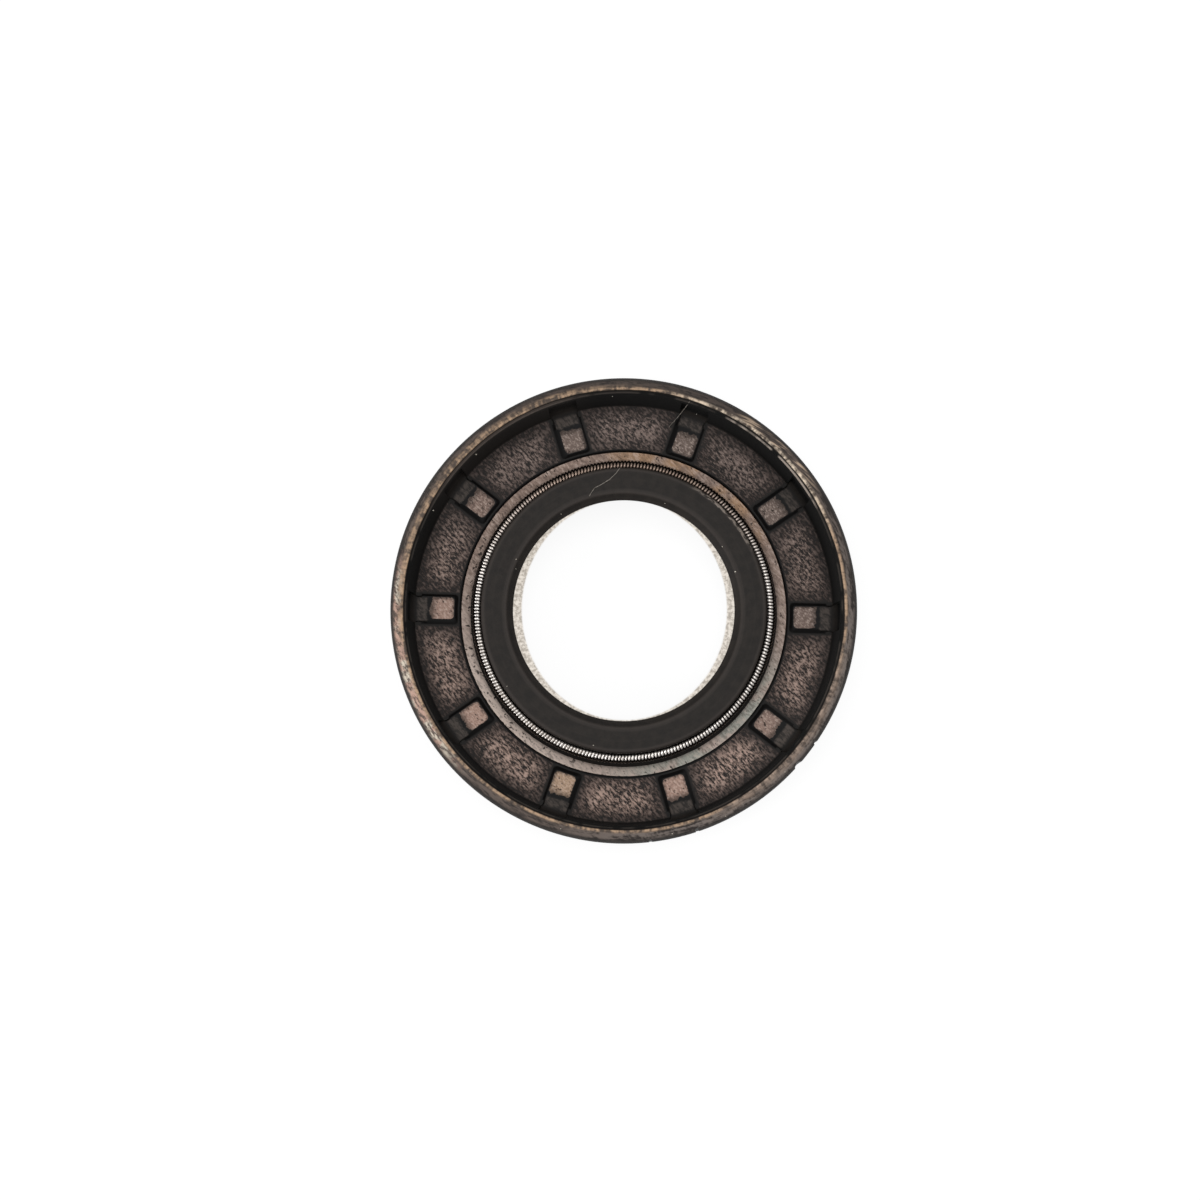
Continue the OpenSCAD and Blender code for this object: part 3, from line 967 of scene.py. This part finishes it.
wire_places = []
for k in range(spring_points):
    around = 2 * math.pi * k / spring_points
    wind = 2 * math.pi * k / points_per_coil
    r = spring_ring_r + coil_middle_r * math.cos(wind)
    wire_places.append((r * math.cos(around), r * math.sin(around),
                        spring_level + coil_middle_r * math.sin(wind)))
wire_mesh = round_along("spring_wire", wire_places, wire_r, 2, True)
garter_spring = shaped_piece("garter_spring_wound", wire_mesh, drawn_wire(), crease=80)
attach(garter_spring, "root")
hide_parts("garter_spring")


# Lint and dust
#
# The seal has lain open on the bench: a curled fibre has settled on the lip, a straight one leans from the
# rim down to the web, and a few grains of dust sit on the lip, the inner wall and the rim.
fibre_r = 0.028
above_seal = 12
rubber_seen = BVHTree.FromPolygons([v.co / MM for v in rubber_body.data.vertices],
                                   [p.vertices[:] for p in rubber_body.data.polygons])


def resting(x, y, lift):
    """The place on the rubber right under this spot, lifted by a grain's or a fibre's radius."""
    place, normal, _, _ = rubber_seen.ray_cast(Vector((x, y, above_seal)), Vector((0, 0, -1)))
    return place + normal * lift


def powdery(name, scale, detail, spread, dark, light, roughness, strength):
    """A dull uneven finish for what has settled on the seal."""
    finish = Finish(name)
    fluff = finish.noise(scale, detail)
    base = finish.colour(finish.between(fluff, 0.5 - spread, 0.5 + spread), dark, light)
    return finish.shade(Base_Color=base, Roughness=roughness, Normal=finish.bump(fluff, 0.01, strength))


cotton_lint = powdery("cotton_lint", 5.0, 3.0, 0.15, srgb(112, 105, 98), srgb(150, 142, 134), 0.8, 0.4)


def fibre(name, places):
    """A thin round fibre of grey cotton lint along these places."""
    piece = shaped_piece(name, round_along(name, places, fibre_r, 1, False), cotton_lint, crease=60)
    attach(piece, "root")


curl = [(-0.34, 12.2), (-0.7, 11.72), (-1.2, 11.24), (-1.98, 10.76), (-2.5, 10.5), (-2.78, 10.1),
        (-2.98, 9.75)]
curl_steps = 8
laid = []
for (x0, y0), (x1, y1) in zip(curl, curl[1:]):
    for k in range(curl_steps):
        t = k / curl_steps
        laid.append(resting(x0 + (x1 - x0) * t, y0 + (y1 - y0) * t, fibre_r))
fibre("lint_on_lip", laid)

leaning_from = resting(5.66, 17.92, fibre_r)
leaning_to = resting(3.94, 16.25, fibre_r)
leaning_bow = Vector((0.05, -0.03, 0))
leaning_steps = 24
leaning = [leaning_from.lerp(leaning_to, k / leaning_steps)
           + leaning_bow * math.sin(math.pi * k / leaning_steps) for k in range(leaning_steps + 1)]
fibre("lint_on_wall", leaning)

# Grains as (angle in degrees, distance from the axis, size)
lip_grains = [(32.8, 10.06, 0.045), (19, 10.12, 0.07), (69, 9.86, 0.04), (154.7, 10.2, 0.045),
              (159, 9.92, 0.04), (123, 9.88, 0.04), (257.4, 11.9, 0.045), (213.2, 11.95, 0.045)]
rim_grains = [(296.2, 19.68, 0.05), (282.2, 19.6, 0.05), (314.7, 19.55, 0.055), (254, 19.5, 0.04)]
wall_grains = [(133.4, 18.5, 0.08), (152.3, 18.5, 0.07), (93, 18.48, 0.04), (70, 18.45, 0.04)]
# A grain's middle lies this share of its size above the rubber, and no grain is quite round
grain_lift = 0.6
grain_uneven = (0.75, 1.1)
grain_narrow = (0.6, 1)
grain_flat = 0.8
dust = bmesh.new()
for degrees, r, size in lip_grains + rim_grains + wall_grains:
    turn = math.radians(degrees)
    middle = resting(r * math.cos(turn), r * math.sin(turn), size * grain_lift)
    grown = bmesh.ops.create_icosphere(dust, subdivisions=2, radius=size)["verts"]
    for vert in grown:
        vert.co *= random.uniform(*grain_uneven)
    bmesh.ops.scale(dust, vec=(1, random.uniform(*grain_narrow), grain_flat), verts=grown)
    bmesh.ops.translate(dust, vec=middle, verts=grown)

pale_dust = powdery("pale_dust", 9.0, 2.0, 0.1, srgb(196, 186, 170), srgb(232, 226, 214), 0.85, 0.5)
dust_grains = shaped_piece("dust_grains", dust, pale_dust, crease=40)
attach(dust_grains, "root")
